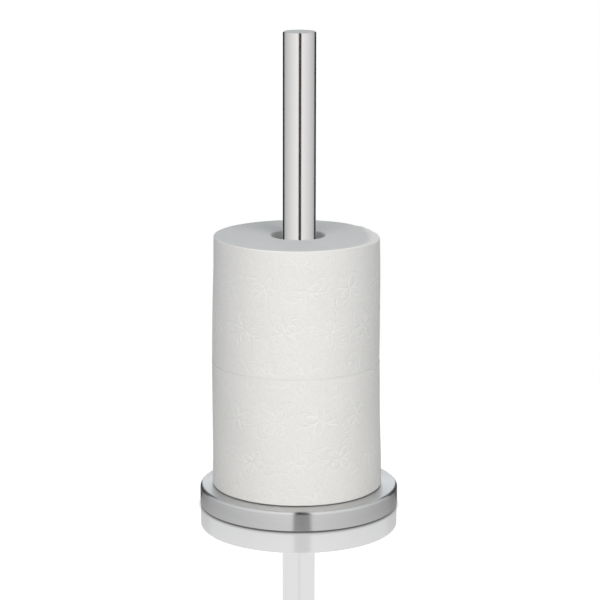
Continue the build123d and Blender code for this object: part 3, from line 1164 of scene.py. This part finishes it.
@dataclass
class Roll:
    """One roll: a wound, embossed sheet with a loose end, on a card core. Sizes in mm and degrees."""

    level: str
    turn_radius: float
    loose_end: float  # bearing of the cut edge
    seed: int
    lean: Pair  # shift to the right at the foot and at the head
    swell: Pair  # added to the radius at the foot and at the head
    rim: Pair  # rounding of the lower and the upper edge
    sag: Pair  # how uneven the lower and the upper end are
    proud: Pair  # how far the outer edge swells past the lower and the upper end
    mirrored: bool = True  # whether steel beside it mirrors it
    crushed: bool = False  # whether the sheet is flattened over the upper edge before its loose end
    sheet: float = 0.6
    flap: float = 14.0
    flap_lift: float = 1.2
    crevice_start: float = 0.3
    crevice_columns: int = 12
    crush_bearing: float = 4.0
    crush_spread: float = 50.0
    crush_width: float = 11.0
    crush_depth: float = 2.2
    crush_fall: float = 1.5  # how fast the flattening ends towards its sides
    crease_height: float = 0.27
    creases: tuple[Pair, ...] = ((29, 1.3), (47, -2.1), (71, 3.2), (113, -1.7))  # how many, and their slant
    bore_gap: float = 0.08
    bore_chamfer: float = 0.12
    uneven: float = 0.34
    waves: tuple[Pair, ...] = ((2, 0.6), (3, -1.1), (5, 1.7), (8, 0.9))  # how many round the side, and up it
    wall_rows: int = 120
    rim_rows: int = 6
    end_rings: int = 11
    ring_crowding: float = 0.92  # below 1 the rings of an end are wider apart near its edge
    end_growth: float = 3.0  # how fast the side's look turns into the cut end's
    sag_turns: float = 1.5
    fade: float = 12.0  # the embossing fades out over one such part of the height
    crushed_press: float = 0.8
    crushed_side: float = 0.05  # how much of the side's look the flattened edge keeps
    columns_round: int = 540
    flap_columns: int = 16
    core_wall: float = 0.8
    core_soft_steps: int = 6
    core_levels: int = 8
    core_segments: int = 144

    def __post_init__(self) -> None:
        """Reads the roll's place from the frame and draws its unevenness."""
        self.paper_size = Extent.of(f"{self.level}_roll_paper")
        self.core_size = Extent.of(f"{self.level}_roll_core")
        self.centre = (self.core_size.centre[0] * MM, self.core_size.centre[1] * MM)
        dice = random.Random(self.seed)
        self.ripples = [
            (turns, climbs, dice.uniform(0, math.tau), self.uneven / turns)
            for turns, climbs in self.waves
        ]

    def ripple(self, bearing: float, rise: float) -> float:
        """Gives the unevenness of the wound side.

        Args:
            bearing: Where it is, in degrees.
            rise: How high it is, as a share of the height.

        Returns:
            What is added to the radius, in mm.
        """
        angle = math.radians(bearing)
        return sum(
            size * math.sin(turns * angle + climbs * math.tau * rise + phase)
            for turns, climbs, phase, size in self.ripples
        )

    def crush(self, bearing: float) -> float:
        """Says how far the upper edge is flattened.

        Args:
            bearing: Where it is, in degrees.

        Returns:
            A number from 0 to 1.
        """
        away = abs((bearing - self.crush_bearing + 180) % 360 - 180) / self.crush_spread
        return max(0.0, 1 - away * away) ** self.crush_fall if self.crushed else 0.0

    def crease(self, bearing: float, turn: float) -> float:
        """Gives the height of the small folds in the flattened edge.

        Args:
            bearing: Where it is, in degrees.
            turn: How far over the edge, in radians.

        Returns:
            The height in mm.
        """
        angle = math.radians(bearing)
        return sum(
            self.crease_height * math.sin(turns * angle + slant * turn + self.seed * turns)
            for turns, slant in self.creases
        )

    def columns(self) -> tuple[list[Column], list[int], list[tuple[int, int]]]:
        """Lays out the outline of the winding, flap and all.

        Returns:
            The columns in order round the outline, the numbers of those that bound the wound body, and the
            pairs of numbers outside and inside the flap, from its root to its cut edge.
        """
        root = 360 - self.flap
        body = [Column(root * i / self.columns_round, 0.0, 1.0) for i in range(self.columns_round + 1)]
        # The flap leaves the roll at a shallow slope, and its slope grows towards the cut edge.
        shares = [(i + 1) / self.flap_columns for i in range(self.flap_columns)]
        lifts = [(root + self.flap * share, self.flap_lift * share * (1 + 2 * share) / 3) for share in shares]
        outside = [Column(angle, lift, 1.0) for angle, lift in lifts]
        inside = [Column(angle, lift - self.sheet, 0.0) for angle, lift in reversed(lifts)]
        first, step = root + self.crevice_start, (self.flap - self.crevice_start) / self.crevice_columns
        crevice = [Column(first + step * i, -self.sheet, 0.0) for i in range(self.crevice_columns)]
        start = len(body)
        throat = start + 2 * self.flap_columns
        bounds = [*range(start), *range(throat, throat + len(crevice))]
        pairs = [(start - 1, throat), *((start + i, throat - 1 - i) for i in range(self.flap_columns))]
        return [*body, *outside, *inside, *crevice], bounds, pairs

    def side_point(self, column: Column, rise: float, inset: float, height: float) -> Point:
        """Places one point of the side.

        Args:
            column: The column that it lies on.
            rise: Its share of the roll's height.
            inset: How far the rounding draws it in, in mm.
            height: Its height in mm.

        Returns:
            The place in metres.
        """
        bearing = self.loose_end + column.angle
        swell, lean = (ends[0] + (ends[1] - ends[0]) * rise for ends in (self.swell, self.lean))
        reach = self.turn_radius - self.sheet * (1 - column.angle / 360) + column.stand_off + swell
        reach += self.ripple(bearing, rise) - inset
        middle = (self.centre[0] + lean * MM, self.centre[1])
        return round_point(middle, reach * MM, math.radians(bearing), height * MM)

    def rows(self, column: Column) -> list[tuple[Point, float, float]]:
        """Lists one column's points from the lower end to the upper.

        Args:
            column: The column.

        Returns:
            For each point its place, how well it is pressed and how far it belongs to the cut end.
        """
        bearing = self.loose_end + column.angle
        flat = self.crush(bearing)
        width, depth = (
            self.rim[1] + (crushed - self.rim[1]) * flat for crushed in (self.crush_width, self.crush_depth)
        )
        wave = abs(math.sin(math.radians(bearing) * self.sag_turns + self.seed))
        foot = self.paper_size.bottom + self.sag[0] * wave - self.proud[0]
        head = self.paper_size.top - self.sag[1] * wave + self.proud[1]
        low, high = foot + self.rim[0], head - depth
        made = []
        for i in range(self.rim_rows, 0, -1):
            turn = math.radians(90 * i / self.rim_rows)
            inset, height = self.rim[0] * (1 - math.cos(turn)), foot + self.rim[0] * (1 - math.sin(turn))
            made.append((self.side_point(column, 0.0, inset, height), 0.0, i / self.rim_rows))
        for i in range(self.wall_rows + 1):
            rise = i / self.wall_rows
            shown = min(1.0, self.fade * rise, self.fade * (1 - rise) + flat)
            made.append((self.side_point(column, rise, 0.0, low + (high - low) * rise), shown, 0.0))
        for i in range(1, self.rim_rows + 1):
            turn = math.radians(90 * i / self.rim_rows)
            inset = width * (1 - math.cos(turn))
            crease = flat * self.crease(bearing, turn) * math.sin(turn * 2)
            height = head - depth * (1 - math.sin(turn)) + crease
            ending = (i / self.rim_rows) ** 2 * (1 - self.crushed_side * flat)
            made.append((self.side_point(column, 1.0, inset, height), flat * self.crushed_press, ending))
        return made

    def winding(self) -> None:
        """Makes the wound sheet as one closed shape and runs the embossing rule over it."""
        columns, bounds, pairs = self.columns()
        points: list[Point] = []
        numbers: dict[str, list[float]] = {label: [] for label in ("turn", "rise", "press", "end")}

        def add(where: Point, turn: float, press: float, end: float) -> int:
            """Keeps one point with its numbers.

            Args:
                where: The place in metres.
                turn: How far round the sheet it lies, in metres.
                press: How well it is pressed.
                end: How far it belongs to the cut end.

            Returns:
                The point's number.
            """
            points.append(where)
            for label, value in (("turn", turn), ("rise", where[2]), ("press", press), ("end", end)):
                numbers[label].append(value)
            return len(points) - 1

        strips: list[list[int]] = []
        for column in columns:
            along = math.radians(column.angle) * self.turn_radius * MM
            rows = self.rows(column)
            strips.append([add(where, along, press * column.pressed, end) for where, press, end in rows])
        tall = len(strips[0])
        faces: list[tuple[int, ...]] = [
            (here[k], there[k], there[k + 1], here[k + 1])
            for here, there in zip(strips, strips[1:] + strips[:1])
            for k in range(tall - 1)
        ]
        bores: list[list[int]] = []
        bore = (self.core_size.radius + self.bore_gap) * MM
        low, high = self.paper_size.bottom + self.bore_chamfer, self.paper_size.top - self.bore_chamfer
        for edge, height in ((0, low), (tall - 1, high)):
            way = 1 if edge else -1
            for (out_a, in_a), (out_b, in_b) in zip(pairs, pairs[1:]):
                faces.append(tuple(strips[n][edge] for n in (out_a, out_b, in_b, in_a))[::way])
            ring = rim = [strips[n][edge] for n in bounds]
            for step in range(1, self.end_rings + 1):
                share = (step / self.end_rings) ** self.ring_crowding
                inner = []
                for n, start in zip(bounds, rim):
                    angle = math.radians(self.loose_end + columns[n].angle)
                    goal = Vector(round_point(self.centre, bore, angle, height * MM))
                    spot = tuple(Vector(points[start]).lerp(goal, share))
                    ending = min(1.0, numbers["end"][start] + self.end_growth * share)
                    inner.append(add(spot, numbers["turn"][start], 0.0, ending))
                for a in range(len(ring)):
                    b = (a + 1) % len(ring)
                    faces.append((ring[a], ring[b], inner[b], inner[a])[::way])
                ring = inner
            bores.append(ring)
        lower, upper = bores
        for a in range(len(bounds)):
            b = (a + 1) % len(bounds)
            faces.append((upper[a], upper[b], lower[b], lower[a]))
        piece = new_piece(f"{self.level}_winding", points, faces)
        for label, values in numbers.items():
            piece.data.attributes.new(label, "FLOAT", "POINT").data.foreach_set("value", values)
        piece.data.shade_smooth()
        piece.visible_glossy = self.mirrored
        # Tissue as it comes off the embossing roller: soft white with low lines, painted lighter than the
        # sheet as a painted highlight, and cut ends with painted shade.
        tissue = Tissue(f"tissue_embossed_{self.level}", self.centre).make()
        grow(piece, embossing_tree(), EMBOSS, tissue)
        place(piece, f"{self.level}_paper", "tissue", [tissue], f"{self.level}_roll_paper")

    def core(self) -> None:
        """Makes the card core with its slightly soft cut edges."""
        size, soft = self.core_size, self.core_wall / 2
        inner, middle = size.radius - self.core_wall, size.radius - soft
        tall = size.top - size.bottom - 2 * soft
        profile = [
            *arc((middle, size.top - soft), soft, 0, 180, self.core_soft_steps),
            *[(inner, size.top - soft - tall * i / self.core_levels) for i in range(1, self.core_levels)],
            *arc((middle, size.bottom + soft), soft, 180, 360, self.core_soft_steps),
        ]
        name, round_steps = f"{self.level}_card_core", self.core_segments
        piece = turned_piece(name, still(profile), round_steps, closed=True, sharp=60, centre=self.centre)
        piece.visible_glossy = self.mirrored
        # Grey board: flat, a little fibrous, with a seam that climbs round it.
        card = CoreCard(f"core_card_{self.level}", self.centre).make()
        place(piece, f"{self.level}_core", "core_card", [card], f"{self.level}_roll_core")

    def build(self) -> None:
        """Builds and dresses the roll."""
        self.core()
        self.winding()


# ---- studio ----
@dataclass(frozen=True)
class Lamp:
    """One soft lamp that hangs round the stand and looks at its middle."""

    name: str
    bearing: float  # degrees from the front, to the right
    rise: float  # degrees
    power: float  # W
    distance: float = 1.5  # m


def facing(bearing: float, reach: float, height: float) -> Point:
    """Gives the place at a bearing from the front.

    Args:
        bearing: Degrees, to the right.
        reach: Distance from the axis in metres.
        height: Height in metres.

    Returns:
        The place.
    """
    angle = math.radians(bearing)
    return reach * math.sin(angle), -reach * math.cos(angle), height


@dataclass
class Studio:
    """Table, surroundings that the steel mirrors, soft lamps and camera. Sizes in m, bearings in degrees."""

    table_radius: float = 0.45
    table_level: float = -0.0002
    gloss_radius: float = 0.0755  # the gloss is a disc under the base, drawn out to the front
    gloss_end: float = 0.0762
    gloss_length: float = 0.0475
    gloss_taper: float = 0.045  # how much its radius falls as it reaches forward
    gloss_gain: float = 2.2
    gloss_tint: float = 0.42  # the board's lacquer is smoky
    gloss_ior: float = 1.75
    gloss_roughness: float = 0.06
    strip_start: float = 0.11  # a clear strip goes on to the front, where the painted reflection of the post shows through
    strip_half: float = 0.0145
    # how far the clear strip lets the painted reflection of the post through
    strip_see_through: float = 0.445
    image_glow: float = 0.24
    image_line: float = 0.1
    image_line_turn: float = 2.4
    image_line_half: float = 3.5
    image_columns: int = 360
    table_corners: int = 128
    board_white: float = 1.05
    board_band: Pair = (0.0003, 0.0006)  # between these levels a ray stops counting as the board's
    board_clear: float = 0.92  # the share of its white that lamps don't change
    board_lit: float = 0.3
    board_grey: float = 0.6  # as the lamps' soft light finds it
    contact_shade: float = 0.003
    contact_samples: int = 12
    wall_radius: float = 2.7
    wall_height: float = 3.6
    ceiling_hole: float = 0.05
    floor_level: float = -0.004
    near_floor: tuple[float, ...] = (0.03, 0.19)
    near_end: float = 0.24
    step: float = 0.5
    gap_half: float = 9.5  # dark gap between the two softboxes, each side of its middle
    gap_turn: float = 4.1  # bearing of its middle
    flag_start: float = 126.0  # black flags behind, each side
    flag_end: float = 164.0
    flag_low: float = 0.7
    flag_low_blur: float = 0.05
    flag_height: float = 1.9
    flag_height_blur: float = 0.08
    flag_glow: float = 0.14
    above_flag_glow: float = 0.6
    softness: float = 1.6
    front_glow: float = 1.22
    glow_fall: float = 1.2  # how the softboxes dim towards the sides
    side_glow: float = 0.63
    back_glow: float = 0.98
    ceiling_glow: float = 0.42
    dark: float = 0.02
    cool: float = 0.05  # how much less red the sides are
    warm: float = 0.025  # how much less blue the front is
    green_follows: Pair = (0.4, 0.6)  # how far green follows red and blue in that
    # Ground close round the base, which the base's side mirrors: bearing and brightness.
    ground: tuple[Pair, ...] = (
        (-180, 0.6), (-156, 0.6), (-150, 0.3), (-107, 0.14), (-104, 0.42), (-60, 0.62), (-4.9, 0.8),
        (-3.7, 0.5), (8.0, 0.5), (9.2, 0.76),
        (60, 0.56), (104, 0.36), (107, 0.14), (150, 0.3), (156, 0.6), (180, 0.6),
    )
    lamps: tuple[Lamp, ...] = (
        Lamp("left_softbox", -27.5, 17.0, 9.312),
        Lamp("right_softbox", 32.5, 29.0, 9.7),
        Lamp("top_softbox", 0.0, 82.0, 4.0),
        Lamp("back_softbox", 180.0, 12.0, 3.5),
    )
    lamp_width: float = 0.9
    lamp_height: float = 1.1
    lamp_colour: str = "#FFFDF9"
    aim_height: float = 0.16
    ambient: float = 0.29
    ambient_colour: str = "#DDE6F1"
    camera_place: Point = (0.00068, -1.681, 0.5354)
    camera_dip: float = 12.58
    camera_roll: float = 0.1
    lens: float = 136.08  # mm
    sensor: float = 36.0  # mm

    def glow(self, bearing: float, height: float, low: bool) -> Point:
        """Gives the brightness of the softboxes, gap and flags as the steel mirrors them.

        Args:
            bearing: Degrees from the front, to the right.
            height: Height on the wall.
            low: Whether the point is on the ground.

        Returns:
            Linear red, green and blue.
        """
        away = abs(bearing)

        def past(edge: float, off: float) -> float:
            """Soft step from 0 to 1 as a bearing passes an edge."""
            share = min(1.0, max(0.0, (off - edge) / self.softness + 0.5))
            return share * share * (3 - 2 * share)

        spread = min(1.0, max(0.0, (away - self.gap_half) / (self.flag_start - self.gap_half)))
        lit = self.front_glow + (self.side_glow - self.front_glow) * spread**self.glow_fall
        if low or height < self.flag_low:
            flag = self.dark
        else:
            flag = self.flag_glow if height < self.flag_height else self.above_flag_glow
        value = self.dark + (lit - self.dark) * past(self.gap_half, abs(bearing - self.gap_turn))
        value += (flag - value) * past(self.flag_start, away)
        value += (self.back_glow - value) * past(self.flag_end, away)
        cool, warm = self.cool * spread, self.warm * (1 - spread)
        green = 1 - cool * self.green_follows[0] - warm * self.green_follows[1]
        return value * (1 - cool), value * green, value * (1 - warm)

    def ground_at(self, bearing: float) -> float:
        """Gives the brightness of the near ground.

        Args:
            bearing: Degrees from the front, to the right.

        Returns:
            The brightness.
        """
        for (start, low), (end, high) in zip(self.ground, self.ground[1:]):
            if bearing <= end:
                return low + (high - low) * (bearing - start) / (end - start)
        return self.ground[-1][1]

    def shine(self, card: Piece, finish: str, colours: Sequence[float], white_from_board: bool) -> None:
        """Makes a stage card shine by itself, without lighting or shading the stand.

        Args:
            card: The card.
            finish: Its material's name.
            colours: Red, green, blue and alpha of all its points, one after another.
            white_from_board: Whether a ray that starts on the table top finds white instead.
        """
        card.data.attributes.new("glow", "FLOAT_COLOR", "POINT").data.foreach_set("color", colours)
        material, tree = new_material(finish)
        glow = add_node(tree, "ShaderNodeAttribute", attribute_name="glow").outputs["Color"]
        if white_from_board:
            white = (*(self.board_white / self.gloss_tint,) * 3, 1.0)
            inputs = {0: self.from_board(tree), 6: glow, 7: white}
            glow = add_node(tree, "ShaderNodeMix", inputs, data_type="RGBA").outputs[2]
        light = add_node(tree, "ShaderNodeEmission", {"Color": glow, "Strength": 1.0}).outputs[0]
        add_node(tree, "ShaderNodeOutputMaterial", {"Surface": light})
        card.data.materials.append(material)
        card.visible_diffuse = False
        card.visible_shadow = False

    def from_board(self, tree: Tree) -> Socket:
        """Tells the rays that start on the table top, which mirrors the stand and nothing else.

        Args:
            tree: The material's node tree.

        Returns:
            1 for such rays and 0 for others.
        """
        spot = add_node(tree, "ShaderNodeNewGeometry").outputs
        length = add_node(tree, "ShaderNodeLightPath").outputs["Ray Length"]
        path = {0: spot["Incoming"], "Scale": length}
        back = add_node(tree, "ShaderNodeVectorMath", path, operation="SCALE").outputs[0]
        ends = {0: back, 1: spot["Position"]}
        start = add_node(tree, "ShaderNodeVectorMath", ends, operation="ADD").outputs[0]
        level = add_node(tree, "ShaderNodeSeparateXYZ", {0: start}).outputs["Z"]
        band = {0: level, 1: self.board_band[0], 2: self.board_band[1], 3: 1.0, 4: 0.0}
        return add_node(tree, "ShaderNodeMapRange", band).outputs[0]

    def surroundings(self) -> None:
        """Makes the bent wall and ground that only reflections see."""
        count = int(360 / self.step)
        low_edge, high_edge = self.flag_low, self.flag_height
        heights = (
            0.0,
            low_edge - self.flag_low_blur,
            low_edge + self.flag_low_blur,
            high_edge - self.flag_height_blur,
            high_edge + self.flag_height_blur,
            self.wall_height,
        )
        rim = [(reach, self.floor_level) for reach in (*self.near_floor, self.near_end, self.wall_radius)]
        rim += [(self.wall_radius, height) for height in heights]
        rim.append((self.ceiling_hole, self.wall_height))
        points, colours = [], []
        for reach, height in rim:
            low = height == self.floor_level
            for bearing in (i * self.step - 180 for i in range(count)):
                points.append(facing(bearing, reach, height))
                if reach >= self.near_end:
                    shade = self.glow(bearing, height, low)
                elif low:
                    shade = (self.ground_at(bearing),) * 3
                else:
                    in_gap = abs(bearing - self.gap_turn / 2) < self.gap_half
                    shade = (self.dark if in_gap else self.ceiling_glow,) * 3
                colours.extend((*shade, 1.0))
        # Lit softbox cloth and black flags: smooth light and dark that only the steel shows.
        card = new_piece("surroundings", points, faces_between(len(rim), count))
        card.visible_camera = False
        self.shine(card, "softbox_and_flag_cards", colours, white_from_board=True)

    def painted_post_reflection(self) -> None:
        """Makes a painted reflection of the post: a glowing copy of the tube under the table top, which the
        clear strip lets through.
        """
        post, count = Extent.of("post_tube"), self.image_columns
        points, colours = [], []
        for level in (-post.top, -post.bottom):
            for bearing in (360 * i / count - 180 for i in range(count)):
                points.append(facing(bearing, post.radius * MM, level * MM))
                in_line = abs(bearing - self.image_line_turn) < self.image_line_half
                colours.extend((*(self.image_line if in_line else self.image_glow,) * 3, 1.0))
        # Painted reflection of the tube, as the lacquer would mirror it: an even pale grey with one darker
        # line.
        image = new_piece("painted_post_reflection", points, faces_between(2, count))
        image.visible_glossy = False
        self.shine(image, "painted_reflection_of_post", colours, white_from_board=False)

    def table(self) -> None:
        """Makes the pale table top: white, with painted shade close under the base and a gloss that shows
        close round the base.
        """
        count = self.table_corners
        angles = (math.tau * i / count for i in range(count))
        points = [round_point((0.0, 0.0), self.table_radius, angle, self.table_level) for angle in angles]
        top = new_piece("table", points, [tuple(range(count))])
        # White lacquered board: plain white to the eye, darkened as painted shade where the base stands close
        # over it, and a smoky mirror close to the base.
        material, tree = new_material("white_lacquered_board")
        path = add_node(tree, "ShaderNodeLightPath").outputs
        # painted shade: the board's white grows darker where other surfaces stand close over it
        around = {"Distance": self.contact_shade}
        painted_contact_shade = add_node(tree, "ShaderNodeAmbientOcclusion", around, samples=self.contact_samples)
        gloss = {"Color": (*(self.gloss_tint,) * 3, 1.0), "Roughness": self.gloss_roughness}
        shaded, board, white, mirror, clear = (
            add_node(tree, kind, inputs).outputs[0]
            for kind, inputs in (
                ("ShaderNodeBsdfDiffuse", {"Color": (*(self.board_lit,) * 3, 1.0)}),
                ("ShaderNodeBsdfDiffuse", {"Color": (*(self.board_grey,) * 3, 1.0)}),
                ("ShaderNodeEmission", {"Color": painted_contact_shade.outputs["Color"], "Strength": self.board_clear}),
                ("ShaderNodeBsdfGlossy", gloss),
                ("ShaderNodeBsdfTransparent", {}),
            )
        )
        shown = add_node(tree, "ShaderNodeAddShader", {0: white, 1: shaded}).outputs[0]
        share, strip = self.gloss_shares(tree, path["Is Camera Ray"])
        surface = board
        for part, over in ((self.seen(tree, path), shown), (share, mirror), (strip, clear)):
            surface = add_node(tree, "ShaderNodeMixShader", {0: part, 1: surface, 2: over}).outputs[0]
        add_node(tree, "ShaderNodeOutputMaterial", {"Surface": surface})
        top.data.materials.append(material)
        top.visible_glossy = False  # the surroundings card stands in for it

    def gloss_shares(self, tree: Tree, camera_ray: Socket) -> tuple[Socket, Socket]:
        """Works out where the table top mirrors the base and where it lets the painted reflection of the post
        through.

        Args:
            tree: The material's node tree.
            camera_ray: 1 for rays that come straight from the camera.

        Returns:
            The share of the mirror and the share of the clear strip.
        """
        parts = add_node(tree, "ShaderNodeSeparateXYZ", {0: object_point(tree)}).outputs
        known = worked_out(
            tree,
            {"x": parts[0], "y": parts[1]},
            ("ahead", "MULTIPLY", "y", -1.0),
            ("along", "MAXIMUM", "ahead", 0.0),
            ("along", "MINIMUM", "along", self.gloss_length),
            ("beyond", "ADD", "y", "along"),
            ("squared", "MULTIPLY", "beyond", "beyond"),
            ("squared", "MULTIPLY_ADD", "x", "x", "squared"),
            ("wide", "SQRT", "squared"),
            ("reach", "MULTIPLY_ADD", "along", self.gloss_taper, "wide"),
        )
        edge = {0: known["reach"], 1: self.gloss_radius, 2: self.gloss_end, 3: 1.0, 4: 0.0}
        near = add_node(tree, "ShaderNodeMapRange", edge, interpolation_type="SMOOTHSTEP").outputs[0]
        fresnel = add_node(tree, "ShaderNodeFresnel", {"IOR": self.gloss_ior}).outputs[0]
        known = worked_out(
            tree,
            {**known, "near": near, "fresnel": fresnel, "camera": camera_ray},
            ("skin", "MULTIPLY", "fresnel", self.gloss_gain),
            ("skin", "MINIMUM", "skin", 1.0),
            ("mirror", "MULTIPLY", "near", "skin"),
            ("mirror", "MULTIPLY", "mirror", "camera"),
            ("aside", "ABSOLUTE", "x"),
            ("inside", "LESS_THAN", "aside", self.strip_half),
            ("in_front", "GREATER_THAN", "ahead", self.strip_start),
            ("strip", "MULTIPLY", "inside", "in_front"),
            ("bare", "SUBTRACT", self.strip_see_through, "near"),
            ("strip", "MULTIPLY", "strip", "bare"),
            ("strip", "MAXIMUM", "strip", 0.0),
            ("strip", "MULTIPLY", "strip", "camera"),
        )
        return known["mirror"], known["strip"]

    @staticmethod
    def seen(tree: Tree, path: bpy.types.bpy_prop_collection) -> Socket:
        """Tells the rays that show a surface: straight, mirrored or through glass.

        Args:
            tree: A material's or a world's node tree.
            path: A Light Path node's outputs.

        Returns:
            1 for such rays and 0 for others.
        """
        rays = {kind: path[f"Is {kind} Ray"] for kind in ("Camera", "Glossy", "Transmission")}
        steps = (("indirect", "MAXIMUM", "Glossy", "Transmission"), ("seen", "MAXIMUM", "Camera", "indirect"))
        return worked_out(tree, rays, *steps)["seen"]

    def world(self) -> None:
        """Makes the white background and the soft light that comes from everywhere."""
        world = bpy.data.worlds.new("white_room")
        world.use_nodes = True
        tree = world.node_tree
        tree.nodes.clear()
        seen = self.seen(tree, add_node(tree, "ShaderNodeLightPath").outputs)
        soft, white = (
            add_node(tree, "ShaderNodeBackground", {"Color": colour, "Strength": strength}).outputs[0]
            for colour, strength in ((linear(self.ambient_colour), self.ambient), (linear("#FFFFFF"), 1.0))
        )
        mixed = add_node(tree, "ShaderNodeMixShader", {0: seen, 1: soft, 2: white}).outputs[0]
        add_node(tree, "ShaderNodeOutputWorld", {"Surface": mixed})
        bpy.context.scene.world = world

    def hang(self, lamp: Lamp) -> None:
        """Hangs one soft lamp.

        Args:
            lamp: Its name, place and power.
        """
        light = bpy.data.lights.new(lamp.name, "AREA")
        light.shape = "RECTANGLE"
        light.size, light.size_y = self.lamp_width, self.lamp_height
        light.energy = lamp.power
        light.color = linear(self.lamp_colour)[:3]
        holder = bpy.data.objects.new(lamp.name, light)
        rise = math.radians(lamp.rise)
        aim = Vector(facing(lamp.bearing, math.cos(rise), math.sin(rise)))
        spot = Vector((0, 0, self.aim_height)) + aim * lamp.distance
        holder.matrix_world = Matrix.Translation(spot) @ aim.to_track_quat("Z", "Y").to_matrix().to_4x4()
        holder.visible_glossy = False
        bpy.context.scene.collection.objects.link(holder)

    def camera(self) -> None:
        """Sets up the camera, a long lens a little above the stand."""
        lens = bpy.data.cameras.new("camera")
        lens.lens = self.lens
        lens.sensor_width = self.sensor
        holder = bpy.data.objects.new("camera", lens)
        dip = Matrix.Rotation(math.radians(90 - self.camera_dip), 4, "X")
        roll = Matrix.Rotation(math.radians(self.camera_roll), 4, "Z")
        holder.matrix_world = Matrix.Translation(self.camera_place) @ dip @ roll
        bpy.context.scene.collection.objects.link(holder)
        bpy.context.scene.camera = holder

    def build(self) -> None:
        """Builds the whole studio."""
        self.camera()
        self.world()
        self.table()
        self.painted_post_reflection()
        self.surroundings()
        for lamp in self.lamps:
            self.hang(lamp)
        bpy.context.scene.view_settings.view_transform = "Standard"
        LOG.info("studio ready")


def main() -> None:
    logging.basicConfig(level=logging.INFO, format="%(name)s %(message)s")
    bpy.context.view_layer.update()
    Studio().build()
    Base().build()
    Post().build()
    Fastenings().build()
    Roll(
        "lower", turn_radius=64.0, loose_end=152.0, seed=11, lean=(-0.65, -1.65), swell=(1.45, 0.35),
        rim=(1.2, 0.22), sag=(0.1, 0.0), proud=(0.0, 0.1),
    ).build()
    Roll(
        "upper", turn_radius=63.0, loose_end=38.0, seed=23, lean=(-1.65, -1.0), swell=(1.2, 0.1),
        rim=(0.22, 0.9), sag=(0.0, 0.3), proud=(0.1, 0.0), mirrored=False, crushed=True,
    ).build()


if __name__ == "__main__":
    main()
